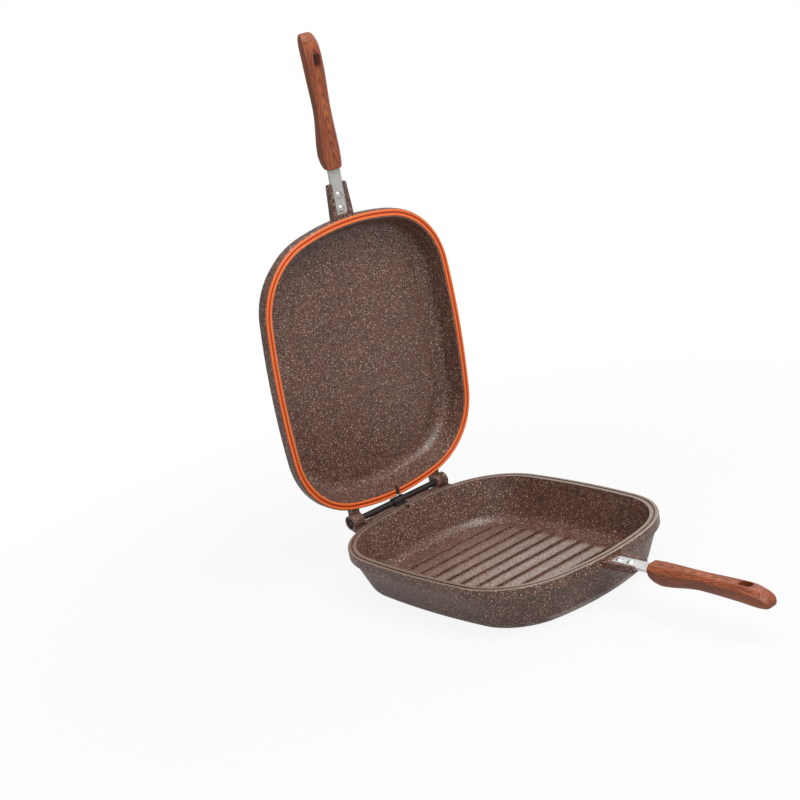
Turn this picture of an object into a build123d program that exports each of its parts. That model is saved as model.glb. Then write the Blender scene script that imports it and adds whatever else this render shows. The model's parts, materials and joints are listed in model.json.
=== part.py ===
from build123d import *
import os
from math import cos, hypot, radians, sin, sqrt, tan

# Double sided flip pan: two cast halves on one hinge rod, each with its own handle.
# +X runs towards the lower handle, +Y along the hinge, +Z up. The origin is the middle of the
# lower half's flat base. The upper half stands open on its stop. Millimetres and degrees.

# Plan of both halves, over the collar
pan_length = 294
pan_width = 240
end_bow_radius = 248
side_bow_radius = 825
corner_radius = 78

# Section of one half, from its rim towards its base
lower_depth = 49
upper_depth = 29
collar_height = 10
collar_step = 3
rim_width = 8.5
wall_taper = 22
cavity_taper = 16
base_thickness = 4
base_edge_radius = 16
floor_edge_radius = 13
rim_edge_radius = 0.9

# Floor grooves of the lower half
groove_count = 11
groove_pitch = 19.5
groove_width = 4
groove_depth = 1.2
groove_margin = 1

# Seal between the rims
rim_gap = 1.5
seal_inset = 0.8
seal_width = 6.6
seal_depth = 3
seal_clearance = 0.05
ridge_width = 2.3
ridge_height = 1.3
ridge_edge_radius = 0.7
rim_groove_depth = 1.2

# Steam vent in the middle of the hinge side
vent_width = 2.6
vent_land = 5.2
vent_depth = 3
vent_recess_width = 5
vent_recess_length = 4.5

# Hinge
open_angle = 88
hinge_back = 6
hinge_rise = 3.5
rod_diameter = 6.5
running_clearance = 0.05
seat_clearance = 0.02
knuckle_radius = 7
knuckle_width = 8.5
knuckle_inner = 50
lug_radius = 7.5
lug_width = 5
lug_side_gap = 0.3
arm_bite = 2.2
arm_below_rim = 1.2
stop_depth = 4
stop_drop = 5.6
ledge_drop = 0.5
ledge_height = 7
ledge_overhang = 1
ledge_edge_radius = 1
ledge_end_gap = 0.3
stop_gap = 0.15
ring_thickness = 1
ring_diameter = 10
ring_recess_depth = 2.2
ring_recess_clearance = 0.5
ring_groove_depth = 0.6
ring_mouth = 3
rod_end_inset = 0.5
rod_end_bevel = 0.5

# Clip in the middle of the rod
clip_length = 14
clip_radius = 4.6
clip_foot_depth = 12
clip_foot_thickness = 3.6
clip_below_seal = 0.5

# Handle bracket cast on each half
bracket_length = 34
bracket_root_width = 26
bracket_tip_width = 20.6
ear_top = 3.2
bracket_bottom = 9.5
ear_end_radius = 1.8
channel_start = 3

# Steel tang and its rivets
tang_width = 14
tang_thickness = 2.5
tang_top = 4.5
tang_in_grip = 56
tang_end_radius = 2
fit_clearance = 0.1
rivet_stations = (8.5, 22)
rivet_diameter = 4.5
rivet_head_diameter = 7.2
rivet_head_height = 1.7

# Moulded grip
grip_start = 48
grip_length = 131
grip_face_clearance = 0.15
grip_shoulder_station = 16
grip_waist_station = 58
rear_from_tip = 34
grip_front_width = 16
grip_shoulder_width = 21
grip_waist_width = 16.4
grip_rear_width = 19
grip_tip_width = 14
grip_front_depth = 12
grip_shoulder_depth = 16.5
grip_waist_depth = 13.6
grip_rear_depth = 14.6
tip_length = 16
tip_nose_depth = 11
tip_heel_back = 8
tip_depth = 16.5
grip_edge_radius = 1
grip_tip_corner = 5
tip_overrun = 0.6
hang_slot_length = 14
hang_slot_width = 8
hang_slot_from_tip = 26

# Screw and magnet inside each grip
screw_station = 36
screw_diameter = 4
screw_head_diameter = 7.4
screw_head_height = 2.6
screw_seat_depth = 10.4
screw_crown_radius = 0.9
screw_cross_length = 4.2
screw_cross_width = 0.9
screw_cross_depth = 1.2
magnet_station = 84
magnet_diameter = 12
magnet_thickness = 3
magnet_skin = 1.2

half_length = pan_length / 2
half_width = pan_width / 2
hinge_x = -(half_length + hinge_back)
hinge_z = lower_depth + hinge_rise
grip_face = grip_face_clearance - rim_gap / 2
lower_rim = Plane(origin=(0, 0, lower_depth), x_dir=(1, 0, 0), z_dir=(0, 0, -1))


def swung(x, z, angle):
    """World x and z of a point given from the hinge axis with the pan shut, after opening."""
    turn = radians(angle)
    return hinge_x + x * cos(turn) - z * sin(turn), hinge_z + x * sin(turn) + z * cos(turn)


# Rim plane of the upper half: it faces the lower rim when shut, and the half lies along its +z.
upper_x, upper_z = swung(-hinge_x, rim_gap - hinge_rise, open_angle)
upper_rim = Plane(
    origin=(upper_x, 0, upper_z),
    x_dir=(cos(radians(open_angle)), 0, sin(radians(open_angle))),
    z_dir=(-sin(radians(open_angle)), 0, cos(radians(open_angle))),
)


def end_edge_x(y):
    """Distance from the pan's middle to its end face at a given y, over the collar."""
    return half_length - end_bow_radius + sqrt(end_bow_radius**2 - y**2)


def corner_centre():
    """Centre of the corner arc that meets both the end bow and the side bow tangentially."""
    end_x = half_length - end_bow_radius
    side_y = half_width - side_bow_radius
    end_reach = end_bow_radius - corner_radius
    side_reach = side_bow_radius - corner_radius
    span = hypot(end_x, side_y)
    along = (end_reach**2 - side_reach**2 + span**2) / (2 * span)
    across = sqrt(end_reach**2 - along**2)
    unit_x = -end_x / span
    unit_y = side_y / span
    return end_x + along * unit_x - across * unit_y, along * unit_y + across * unit_x


def pan_outline(growth, mode=Mode.ADD):
    """Plan of the pan, grown outwards by growth, as eight tangent arcs in the open sketch."""
    corner_x, corner_y = corner_centre()
    end_x = half_length - end_bow_radius
    side_y = half_width - side_bow_radius
    end_scale = (end_bow_radius + growth) / hypot(corner_x - end_x, corner_y)
    side_scale = (side_bow_radius + growth) / hypot(corner_x, corner_y - side_y)
    end_point = Vector(end_x + (corner_x - end_x) * end_scale, corner_y * end_scale)
    side_point = Vector(corner_x * side_scale, side_y + (corner_y - side_y) * side_scale)
    corner = Vector(corner_x, corner_y)
    outwards = ((end_point + side_point) * 0.5 - corner).normalized()
    corner_point = corner + outwards * (corner_radius + growth)
    with BuildLine() as border:
        for sign in (1, -1):
            turned = [Vector(p.X * sign, p.Y * sign) for p in (end_point, corner_point, side_point)]
            flipped = [Vector(-p.X, p.Y) for p in turned]
            end_start = Vector(turned[0].X, -turned[0].Y)
            ThreePointArc(end_start, (sign * (half_length + growth), 0), turned[0])
            ThreePointArc(*turned)
            ThreePointArc(turned[2], (0, sign * (half_width + growth)), flipped[2])
            ThreePointArc(*reversed(flipped))
    make_face(border.edges(), mode=mode)


def rim_band(plane, outer, inner):
    """Sketch of the band between two insets of the plan."""
    with BuildSketch(plane) as band:
        pan_outline(-outer)
        pan_outline(-inner, mode=Mode.SUBTRACT)
    return band.sketch


def section_plane(rim):
    """Plane of a half's long section: x along the pan, y from the rim towards the base."""
    return Plane(origin=rim.origin, x_dir=rim.x_dir, z_dir=-rim.y_dir)


def depth_axis(rim):
    """Axis from the rim towards the base of a half, for choosing edges by depth."""
    return Axis(rim.origin, rim.z_dir)


def taper_growth(growth, depth, angle):
    """Growth of a tapered outline at the far end of its depth."""
    return growth - depth * tan(radians(angle))


def make_outer_body(half, rim, depth):
    """Solid outer form of a half: drafted wall, rounded base edge and collar."""
    wall_depth = depth - collar_height
    with BuildSketch(rim.offset(collar_height)) as wall_top:
        pan_outline(-collar_step)
    with BuildSketch(rim.offset(depth)) as wall_foot:
        pan_outline(taper_growth(-collar_step, wall_depth, wall_taper))
    loft([wall_top.sketch, wall_foot.sketch], ruled=True)
    fillet(half.edges().group_by(depth_axis(rim))[-1], base_edge_radius)
    with BuildSketch(rim) as collar:
        pan_outline(0)
    extrude(collar.sketch, amount=collar_height)
    fillet(half.edges().group_by(depth_axis(rim))[0], rim_edge_radius)
    ledge = half.faces().filter_by(rim).sort_by(depth_axis(rim))[1]
    fillet(ledge.outer_wire().edges(), rim_edge_radius)


def make_cavity(space, rim, depth):
    """Solid of the cooking space of a half, with its floor edge rounded."""
    floor_depth = depth - base_thickness
    with BuildSketch(rim) as mouth:
        pan_outline(-rim_width)
    with BuildSketch(rim.offset(floor_depth)) as floor:
        pan_outline(taper_growth(-rim_width, floor_depth, cavity_taper))
    loft([mouth.sketch, floor.sketch], ruled=True)
    fillet(space.edges().group_by(depth_axis(rim))[-1], floor_edge_radius)


def make_bracket(rim):
    """Forked bracket for a handle: a flared block with a channel and two rivet holes."""
    root_x = half_length - arm_bite
    tip_x = half_length + bracket_length
    with BuildSketch(rim.offset(ear_top)) as block:
        with BuildLine() as edge:
            Polyline(
                (root_x, -bracket_root_width / 2),
                (tip_x, -bracket_tip_width / 2),
                (tip_x, bracket_tip_width / 2),
                (root_x, bracket_root_width / 2),
                close=True,
            )
        make_face(edge.edges())
        fillet(block.vertices().group_by(Axis.X)[-1], ear_end_radius)
    extrude(block.sketch, amount=bracket_bottom - ear_top)
    channel_length = bracket_length - channel_start
    with BuildSketch(rim.offset(ear_top)) as channel:
        with Locations((half_length + channel_start, 0)):
            Rectangle(
                2 * channel_length, tang_width + 2 * fit_clearance, align=(Align.MIN, Align.CENTER)
            )
    channel_depth = tang_top + tang_thickness - ear_top
    extrude(channel.sketch, amount=channel_depth, mode=Mode.SUBTRACT)
    with BuildSketch(rim.offset(bracket_bottom)) as holes:
        with Locations(*[(half_length + station, 0) for station in rivet_stations]):
            Circle(rivet_diameter / 2 + seat_clearance)
    extrude(holes.sketch, amount=ear_top - bracket_bottom, mode=Mode.SUBTRACT)


def make_arm(rim, axis_depth, barrel_radius, low_depth, centre_y, width):
    """Hinge arm of a half: a barrel round the hinge axis and a web back into the collar."""
    arm_root = -(end_edge_x(abs(centre_y) + width / 2) - arm_bite)
    with BuildSketch(section_plane(rim).offset(-centre_y)) as arm:
        with Locations((hinge_x, axis_depth)):
            Circle(barrel_radius)
        with BuildLine() as web:
            Polyline(
                (hinge_x, arm_below_rim),
                (hinge_x, low_depth),
                (arm_root, collar_height),
                (arm_root, arm_below_rim),
                close=True,
            )
        make_face(web.edges())
    extrude(arm.sketch, amount=width / 2, both=True)


def make_ledge(rim, centre_y, length):
    """Straight ledge cast on the collar under the hinge rod, between a lug and the clip."""
    root = end_edge_x(abs(centre_y) + length / 2) - arm_bite
    reach = ledge_overhang - hinge_x
    with BuildSketch(section_plane(rim).offset(-centre_y)) as ledge:
        with Locations((-reach, ledge_drop)):
            Rectangle(reach - root, ledge_height, align=(Align.MIN, Align.MIN))
        fillet(ledge.vertices().group_by(Axis.X)[0], ledge_edge_radius)
    extrude(ledge.sketch, amount=length / 2, both=True)


def hinge_bar(start, end, radius, bore=0, mode=Mode.ADD):
    """Round bar along the hinge axis between two y values, hollow when it has a bore."""
    with BuildSketch(Plane.XZ.offset(-start)) as disc:
        with Locations((hinge_x, hinge_z)):
            Circle(radius)
            if bore > 0:
                Circle(bore, mode=Mode.SUBTRACT)
    extrude(disc.sketch, amount=start - end, mode=mode)


def cap_point(x, level, radius, height, reach):
    """Point on a domed cap standing on a level, at a reach from its axis at x."""
    sphere = (radius**2 + height**2) / (2 * abs(height))
    rise = abs(height) - sphere + sqrt(sphere**2 - reach**2)
    return x + reach, level + (rise if height > 0 else -rise)


def make_tang(rim):
    """Flat steel strip from the bracket's channel into the grip."""
    start = half_length + channel_start + fit_clearance
    end = half_length + grip_start + tang_in_grip
    with BuildSketch(rim.offset(tang_top)) as strip:
        with Locations((start, 0)):
            Rectangle(end - start, tang_width, align=(Align.MIN, Align.CENTER))
        fillet(strip.vertices(), tang_end_radius)
        with Locations(*[(half_length + station, 0) for station in rivet_stations]):
            Circle(rivet_diameter / 2 + seat_clearance, mode=Mode.SUBTRACT)
        with Locations((half_length + grip_start + screw_station, 0)):
            Circle(screw_diameter / 2 + seat_clearance, mode=Mode.SUBTRACT)
    extrude(strip.sketch, amount=tang_thickness - seat_clearance)


def make_rivets(rim):
    """Two rivets: a domed head on the tang and a domed tail under the bracket."""
    head = rivet_head_diameter / 2
    shank = rivet_diameter / 2
    for station in rivet_stations:
        x = half_length + station
        with BuildSketch(section_plane(rim)) as half_section:
            with BuildLine() as contour:
                ThreePointArc(
                    (x, tang_top - rivet_head_height),
                    cap_point(x, tang_top, head, -rivet_head_height, head / 2),
                    (x + head, tang_top),
                )
                Polyline(
                    (x + head, tang_top),
                    (x + shank, tang_top),
                    (x + shank, bracket_bottom),
                    (x + head, bracket_bottom),
                )
                ThreePointArc(
                    (x + head, bracket_bottom),
                    cap_point(x, bracket_bottom, head, rivet_head_height, head / 2),
                    (x, bracket_bottom + rivet_head_height),
                )
                Line((x, bracket_bottom + rivet_head_height), (x, tang_top - rivet_head_height))
            make_face(contour.edges())
        centre = rim.from_local_coords((x, 0, 0))
        revolve(half_section.sketch, axis=Axis(centre, rim.z_dir))


def grip_side_profile(rim):
    """Sketch of the grip seen from the side: flat mating face, belly and turned-down tip."""
    start = half_length + grip_start
    end = start + grip_length
    nose = (end, tip_nose_depth)
    heel = (end - tip_heel_back, tip_depth)
    with BuildSketch(section_plane(rim).offset(-grip_shoulder_width)) as profile:
        with BuildLine() as contour:
            Line((start, grip_face), (end - tip_length, grip_face))
            Spline((end - tip_length, grip_face), nose, tangents=((1, 0), (0, 1)))
            Spline(nose, heel, tangents=((0, 1), (-1, 0)))
            Spline(
                heel,
                (end - rear_from_tip, grip_face + grip_rear_depth),
                (start + grip_waist_station, grip_face + grip_waist_depth),
                (start + grip_shoulder_station, grip_face + grip_shoulder_depth),
                (start, grip_face + grip_front_depth),
                tangents=((-1, 0), (-0.7, -1)),
            )
            Line((start, grip_face + grip_front_depth), (start, grip_face))
        make_face(contour.edges())
    return profile.sketch


def grip_plan(rim):
    """Sketch of the grip seen on its mating face: shoulder, waist, swell and tip."""
    start = half_length + grip_start
    stations = (
        (0, grip_front_width),
        (grip_shoulder_station, grip_shoulder_width),
        (grip_waist_station, grip_waist_width),
        (grip_length - rear_from_tip, grip_rear_width),
        (grip_length + tip_overrun, grip_tip_width),
    )
    with BuildSketch(rim.offset(-grip_shoulder_depth)) as plan:
        with BuildLine() as contour:
            for side in (1, -1):
                points = [(start + station, side * width / 2) for station, width in stations]
                Spline(*points)
            Line((start, grip_front_width / 2), (start, -grip_front_width / 2))
            end = start + grip_length + tip_overrun
            Line((end, grip_tip_width / 2), (end, -grip_tip_width / 2))
        make_face(contour.edges())
        fillet(plan.vertices().group_by(Axis.X)[-1], grip_tip_corner)
    return plan.sketch


def make_grip(grip, rim):
    """Moulded grip with its tang slot, screw seat, magnet pocket and hanging slot."""
    start = half_length + grip_start
    extrude(grip_side_profile(rim), amount=2 * grip_shoulder_width)
    extrude(grip_plan(rim), amount=3 * grip_shoulder_depth, mode=Mode.INTERSECT)
    fillet(grip.edges().sort_by(SortBy.LENGTH)[-2:], grip_edge_radius)
    with BuildSketch(rim.offset(grip_face)) as slot:
        with Locations((start + grip_length - hang_slot_from_tip, 0)):
            SlotOverall(hang_slot_length, hang_slot_width)
    extrude(slot.sketch, amount=2 * grip_shoulder_depth, mode=Mode.SUBTRACT)
    with BuildSketch(rim.offset(tang_top - fit_clearance)) as pocket:
        with Locations((start - fit_clearance, 0)):
            Rectangle(
                tang_in_grip + 2 * fit_clearance,
                tang_width + 2 * fit_clearance,
                align=(Align.MIN, Align.CENTER),
            )
    extrude(pocket.sketch, amount=tang_thickness + 2 * fit_clearance, mode=Mode.SUBTRACT)
    with BuildSketch(rim.offset(tang_top)) as shank_hole:
        with Locations((start + screw_station, 0)):
            Circle(screw_diameter / 2 + fit_clearance)
    extrude(shank_hole.sketch, amount=screw_seat_depth, mode=Mode.SUBTRACT)
    with BuildSketch(rim.offset(screw_seat_depth)) as head_seat:
        with Locations((start + screw_station, 0)):
            Circle(screw_head_diameter / 2 + fit_clearance)
    extrude(head_seat.sketch, amount=grip_shoulder_depth, mode=Mode.SUBTRACT)
    with BuildSketch(rim.offset(grip_face + magnet_skin - fit_clearance)) as magnet_pocket:
        with Locations((start + magnet_station, 0)):
            Circle(magnet_diameter / 2 + fit_clearance)
    extrude(magnet_pocket.sketch, amount=magnet_thickness + 2 * fit_clearance, mode=Mode.SUBTRACT)


def make_screw(screw, rim):
    """Pan head screw from the grip's belly up through the tang."""
    with BuildSketch(rim.offset(tang_top)) as shank:
        with Locations((half_length + grip_start + screw_station, 0)):
            Circle(screw_diameter / 2)
    extrude(shank.sketch, amount=screw_seat_depth - tang_top)
    with BuildSketch(rim.offset(screw_seat_depth)) as head:
        with Locations((half_length + grip_start + screw_station, 0)):
            Circle(screw_head_diameter / 2)
    extrude(head.sketch, amount=screw_head_height)
    crown = screw.faces().filter_by(rim).sort_by(depth_axis(rim))[-1]
    fillet(crown.edges(), screw_crown_radius)
    with BuildSketch(rim.offset(screw_seat_depth + screw_head_height)) as drive:
        with Locations((half_length + grip_start + screw_station, 0)):
            Rectangle(screw_cross_length, screw_cross_width)
            Rectangle(screw_cross_width, screw_cross_length)
    extrude(drive.sketch, amount=-screw_cross_depth, mode=Mode.SUBTRACT)


def make_magnet(rim):
    """Disc magnet under the skin of the grip's mating face."""
    with BuildSketch(rim.offset(grip_face + magnet_skin)) as disc:
        with Locations((half_length + grip_start + magnet_station, 0)):
            Circle(magnet_diameter / 2)
    extrude(disc.sketch, amount=magnet_thickness)


# Lower half: body, cooking space, grooved floor, rim groove, bracket and hinge lugs
with BuildPart() as lower_cavity:
    make_cavity(lower_cavity, lower_rim, lower_depth)

lug_centre = knuckle_inner + knuckle_width + lug_side_gap + lug_width / 2
lug_outer = lug_centre + lug_width / 2
ledge_inner = clip_length / 2 + ledge_end_gap
ledge_length = knuckle_inner - ledge_end_gap - ledge_inner
ledge_centre = ledge_inner + ledge_length / 2
floor_level = lower_depth - base_thickness
floor_growth = taper_growth(-rim_width, floor_level, cavity_taper)
groove_growth = floor_growth - floor_edge_radius - groove_margin

with BuildPart() as lower_pan:
    make_outer_body(lower_pan, lower_rim, lower_depth)
    make_bracket(lower_rim)
    for side in (1, -1):
        make_arm(lower_rim, -hinge_rise, lug_radius, lug_radius - hinge_rise, side * lug_centre, lug_width)
    for side in (1, -1):
        make_ledge(lower_rim, side * ledge_centre, ledge_length)
    add(lower_cavity.part, mode=Mode.SUBTRACT)
    with BuildSketch(lower_rim.offset(floor_level)) as grooves:
        with GridLocations(groove_pitch, 0, groove_count, 1):
            Rectangle(groove_width, pan_width)
        pan_outline(groove_growth, mode=Mode.INTERSECT)
    extrude(grooves.sketch, amount=groove_depth, mode=Mode.SUBTRACT)
    ridge_inset = seal_inset + seal_clearance + ridge_width
    far_ridge_inset = seal_inset + seal_width - seal_clearance - ridge_width
    extrude(
        rim_band(lower_rim, ridge_inset, far_ridge_inset),
        amount=rim_groove_depth,
        mode=Mode.SUBTRACT,
    )
    with BuildSketch(lower_rim) as vent_recess:
        with Locations((-(half_length - rim_width + vent_recess_length), 0)):
            Rectangle(2 * vent_recess_length, vent_recess_width, align=(Align.MIN, Align.CENTER))
    extrude(vent_recess.sketch, amount=vent_depth, mode=Mode.SUBTRACT)
    hinge_bar(-lug_outer, lug_outer, rod_diameter / 2 + seat_clearance, mode=Mode.SUBTRACT)
    recess_radius = ring_diameter / 2 + ring_recess_clearance
    for side in (1, -1):
        recess_floor = side * (lug_outer - ring_recess_depth)
        hinge_bar(recess_floor, side * lug_outer, recess_radius, mode=Mode.SUBTRACT)

# Upper half: body, cooking space, seal groove, vent, bracket, knuckles and stops
with BuildPart() as upper_cavity:
    make_cavity(upper_cavity, upper_rim, upper_depth)

with BuildPart() as seal_space:
    extrude(rim_band(upper_rim, seal_inset, seal_inset + seal_width), amount=seal_depth)
    with BuildSketch(upper_rim) as land:
        with Locations((-half_length, 0)):
            Rectangle(4 * rim_width, vent_land)
    extrude(land.sketch, amount=seal_depth, mode=Mode.SUBTRACT)

knuckle_centre = knuckle_inner + knuckle_width / 2
knuckle_outer = knuckle_inner + knuckle_width
knuckle_axis_depth = hinge_rise - rim_gap

with BuildPart() as stops:
    with BuildSketch(Plane.XY.offset(hinge_z - stop_drop)) as pads:
        for side in (1, -1):
            with Locations((hinge_x, side * knuckle_centre)):
                Rectangle(hinge_back + corner_radius, knuckle_width, align=(Align.MIN, Align.CENTER))
        pan_outline(stop_gap, mode=Mode.SUBTRACT)
    extrude(pads.sketch, amount=-stop_depth)

with BuildPart() as upper_pan:
    make_outer_body(upper_pan, upper_rim, upper_depth)
    make_bracket(upper_rim)
    for side in (1, -1):
        make_arm(
            upper_rim,
            knuckle_axis_depth,
            knuckle_radius,
            knuckle_axis_depth + knuckle_radius,
            side * knuckle_centre,
            knuckle_width,
        )
    add(stops.part)
    add(upper_cavity.part, mode=Mode.SUBTRACT)
    add(seal_space.part, mode=Mode.SUBTRACT)
    with BuildSketch(upper_rim) as vent:
        with Locations((-half_length, 0)):
            Rectangle(4 * rim_width, vent_width)
    extrude(vent.sketch, amount=vent_depth, mode=Mode.SUBTRACT)
    bore = rod_diameter / 2 + running_clearance
    hinge_bar(-knuckle_outer, knuckle_outer, bore, mode=Mode.SUBTRACT)

# Seal: a flat band in the groove with two ridges, open at the vent
with BuildPart() as gasket:
    ridge_plane = upper_rim.offset(-ridge_height)
    outer_inset = seal_inset + seal_clearance
    inner_inset = seal_inset + seal_width - seal_clearance
    extrude(rim_band(ridge_plane, outer_inset, outer_inset + ridge_width), amount=ridge_height)
    extrude(rim_band(ridge_plane, inner_inset - ridge_width, inner_inset), amount=ridge_height)
    fillet(gasket.edges().group_by(depth_axis(upper_rim))[0], ridge_edge_radius)
    extrude(rim_band(upper_rim, outer_inset, inner_inset), amount=seal_depth - seal_clearance)
    with BuildSketch(upper_rim.offset(-ridge_height)) as opening:
        with Locations((-half_length, 0)):
            Rectangle(4 * rim_width, vent_land + 2 * seal_clearance)
    extrude(opening.sketch, amount=seal_depth + ridge_height, mode=Mode.SUBTRACT)

# Hinge rod with a groove for a retaining ring near each end
rod_end = lug_outer - rod_end_inset
ring_seat = lug_outer - ring_recess_depth + seat_clearance
ring_far = ring_seat + ring_thickness
groove_radius = rod_diameter / 2 - ring_groove_depth

with BuildPart() as hinge_rod:
    hinge_bar(-rod_end, rod_end, rod_diameter / 2)
    chamfer(hinge_rod.edges(), rod_end_bevel)
    for side in (1, -1):
        groove_start = side * (ring_seat - seat_clearance)
        groove_end = side * (ring_far + seat_clearance)
        hinge_bar(groove_start, groove_end, rod_diameter, groove_radius, Mode.SUBTRACT)

with BuildPart() as rod_rings:
    for side in (1, -1):
        hinge_bar(side * ring_seat, side * ring_far, ring_diameter / 2, groove_radius + seat_clearance)
    with BuildSketch(Plane.XZ.offset(-rod_end)) as mouth:
        with Locations((hinge_x, hinge_z)):
            Rectangle(ring_mouth, ring_diameter, align=(Align.CENTER, Align.MAX))
    extrude(mouth.sketch, amount=2 * rod_end, mode=Mode.SUBTRACT)

# Clip round the middle of the rod, its foot against the lower collar
foot_front = -(half_length + running_clearance)
foot_bottom = hinge_z - clip_foot_depth
foot_top = lower_depth + rim_gap - clip_below_seal
with BuildPart() as rod_clip:
    hinge_bar(-clip_length / 2, clip_length / 2, clip_radius)
    with BuildSketch(Plane.XZ.offset(-clip_length / 2)) as foot:
        with BuildLine() as edge:
            Polyline(
                (hinge_x, hinge_z),
                (foot_front, foot_top),
                (foot_front, foot_bottom),
                (foot_front - clip_foot_thickness, foot_bottom),
                (hinge_x - rod_diameter / 2, hinge_z - rod_diameter / 2),
                close=True,
            )
        make_face(edge.edges())
    extrude(foot.sketch, amount=clip_length)
    bore = rod_diameter / 2 + seat_clearance
    hinge_bar(-clip_length / 2, clip_length / 2, bore, mode=Mode.SUBTRACT)

# Handles of the lower and the upper half
with BuildPart() as lower_tang:
    make_tang(lower_rim)

with BuildPart() as upper_tang:
    make_tang(upper_rim)

with BuildPart() as lower_rivets:
    make_rivets(lower_rim)

with BuildPart() as upper_rivets:
    make_rivets(upper_rim)

with BuildPart() as lower_grip:
    make_grip(lower_grip, lower_rim)

with BuildPart() as upper_grip:
    make_grip(upper_grip, upper_rim)

with BuildPart() as lower_grip_screw:
    make_screw(lower_grip_screw, lower_rim)

with BuildPart() as upper_grip_screw:
    make_screw(upper_grip_screw, upper_rim)

with BuildPart() as lower_magnet:
    make_magnet(lower_rim)

with BuildPart() as upper_magnet:
    make_magnet(upper_rim)

os.makedirs("parts", exist_ok=True)
lower_pan.part.label = "lower_pan"
export_step(lower_pan.part, "parts/lower_pan.step")
upper_pan.part.label = "upper_pan"
export_step(upper_pan.part, "parts/upper_pan.step")
gasket.part.label = "gasket"
export_step(gasket.part, "parts/gasket.step")
hinge_rod.part.label = "hinge_rod"
export_step(hinge_rod.part, "parts/hinge_rod.step")
rod_rings.part.label = "rod_rings"
export_step(rod_rings.part, "parts/rod_rings.step")
rod_clip.part.label = "rod_clip"
export_step(rod_clip.part, "parts/rod_clip.step")
lower_tang.part.label = "lower_tang"
export_step(lower_tang.part, "parts/lower_tang.step")
upper_tang.part.label = "upper_tang"
export_step(upper_tang.part, "parts/upper_tang.step")
lower_rivets.part.label = "lower_rivets"
export_step(lower_rivets.part, "parts/lower_rivets.step")
upper_rivets.part.label = "upper_rivets"
export_step(upper_rivets.part, "parts/upper_rivets.step")
lower_grip.part.label = "lower_grip"
export_step(lower_grip.part, "parts/lower_grip.step")
upper_grip.part.label = "upper_grip"
export_step(upper_grip.part, "parts/upper_grip.step")
lower_grip_screw.part.label = "lower_grip_screw"
export_step(lower_grip_screw.part, "parts/lower_grip_screw.step")
upper_grip_screw.part.label = "upper_grip_screw"
export_step(upper_grip_screw.part, "parts/upper_grip_screw.step")
lower_magnet.part.label = "lower_magnet"
export_step(lower_magnet.part, "parts/lower_magnet.step")
upper_magnet.part.label = "upper_magnet"
export_step(upper_magnet.part, "parts/upper_magnet.step")
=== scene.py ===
"""Finishes a packed double sided flip pan: coating, seal, hinge, handles, light and camera."""

from __future__ import annotations

import json
import logging
import math
from dataclasses import dataclass, field
from enum import Enum
from typing import Callable, Optional, Sequence, Union

import bmesh
import bpy
from mathutils import Matrix, Vector


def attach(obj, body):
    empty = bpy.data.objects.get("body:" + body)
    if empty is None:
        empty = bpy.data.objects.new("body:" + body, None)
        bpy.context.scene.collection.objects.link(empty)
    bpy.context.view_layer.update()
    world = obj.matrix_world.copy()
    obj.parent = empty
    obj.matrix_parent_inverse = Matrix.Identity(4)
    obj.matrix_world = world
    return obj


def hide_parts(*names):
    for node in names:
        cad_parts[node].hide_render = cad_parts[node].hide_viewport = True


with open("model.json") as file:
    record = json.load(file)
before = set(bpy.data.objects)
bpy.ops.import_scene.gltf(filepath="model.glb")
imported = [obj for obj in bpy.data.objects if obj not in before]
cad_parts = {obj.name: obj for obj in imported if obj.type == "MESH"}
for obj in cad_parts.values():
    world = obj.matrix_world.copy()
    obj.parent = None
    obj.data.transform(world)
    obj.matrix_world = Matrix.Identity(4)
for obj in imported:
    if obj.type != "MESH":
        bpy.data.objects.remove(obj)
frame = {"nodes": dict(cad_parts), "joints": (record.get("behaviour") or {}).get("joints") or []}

log = logging.getLogger("flip_pan")

PICTURE_PIXELS = 800
SENSOR_WIDTH = 36.0

# Lengths are in metres, as in the frame. Two places less than TOUCHING apart are the same.
MM = 0.001
TOUCHING = 1e-6

# The hinge as packed, the level of the lower rim, and the gap between the rims when shut.
LID_HINGE = frame["joints"][0]
HINGE_X, _, HINGE_Z = LID_HINGE["pos_m"]
OPEN_ANGLE = math.radians(-min(LID_HINGE["range_deg"]))
RIM_LEVEL = 49.0 * MM
RIM_GAP = 1.5 * MM
ACROSS = Vector((0.0, 1.0, 0.0))

Colour = tuple[float, float, float]
Span = tuple[float, float]

WHITE: Colour = (1.0, 1.0, 1.0)


def from_screen(red: int, green: int, blue: int) -> Colour:
    """Linear colour of an 8 bit screen colour.

    Args:
        red: Red, 0 to 255.
        green: Green, 0 to 255.
        blue: Blue, 0 to 255.

    Returns:
        The colour as three linear numbers.
    """

    def linear(channel: int) -> float:
        """Linear value of one channel."""
        share = channel / 255.0
        return share / 12.92 if share <= 0.04045 else ((share + 0.055) / 1.055) ** 2.4

    return linear(red), linear(green), linear(blue)


def heading(azimuth: float, elevation: float) -> Vector:
    """Direction from the pan to a place in the studio.

    Args:
        azimuth: Degrees from minus y, towards plus x, where the lower handle points.
        elevation: Degrees above the floor.

    Returns:
        The direction, one long.
    """
    turn, lift = math.radians(azimuth), math.radians(elevation)
    level = math.cos(lift)
    return Vector((math.sin(turn) * level, -math.cos(turn) * level, math.sin(lift)))


@dataclass(frozen=True)
class Half:
    """One half of the pan, with its own directions.

    Attributes:
        name: Start of the names of its nodes.
        body: The body that it moves with.
        origin: Centre of its rim plane.
        along: Direction of its handle.
        depth: Direction from the rim to the base.
    """

    name: str
    body: str
    origin: Vector
    along: Vector
    depth: Vector

    def placing(self) -> Matrix:
        """Matrix from (along, across, depth) to the row frame, without a mirror."""
        across = self.depth.cross(self.along)
        turned = Matrix((self.along, across, self.depth)).transposed().to_4x4()
        return Matrix.Translation(self.origin) @ turned


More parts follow.
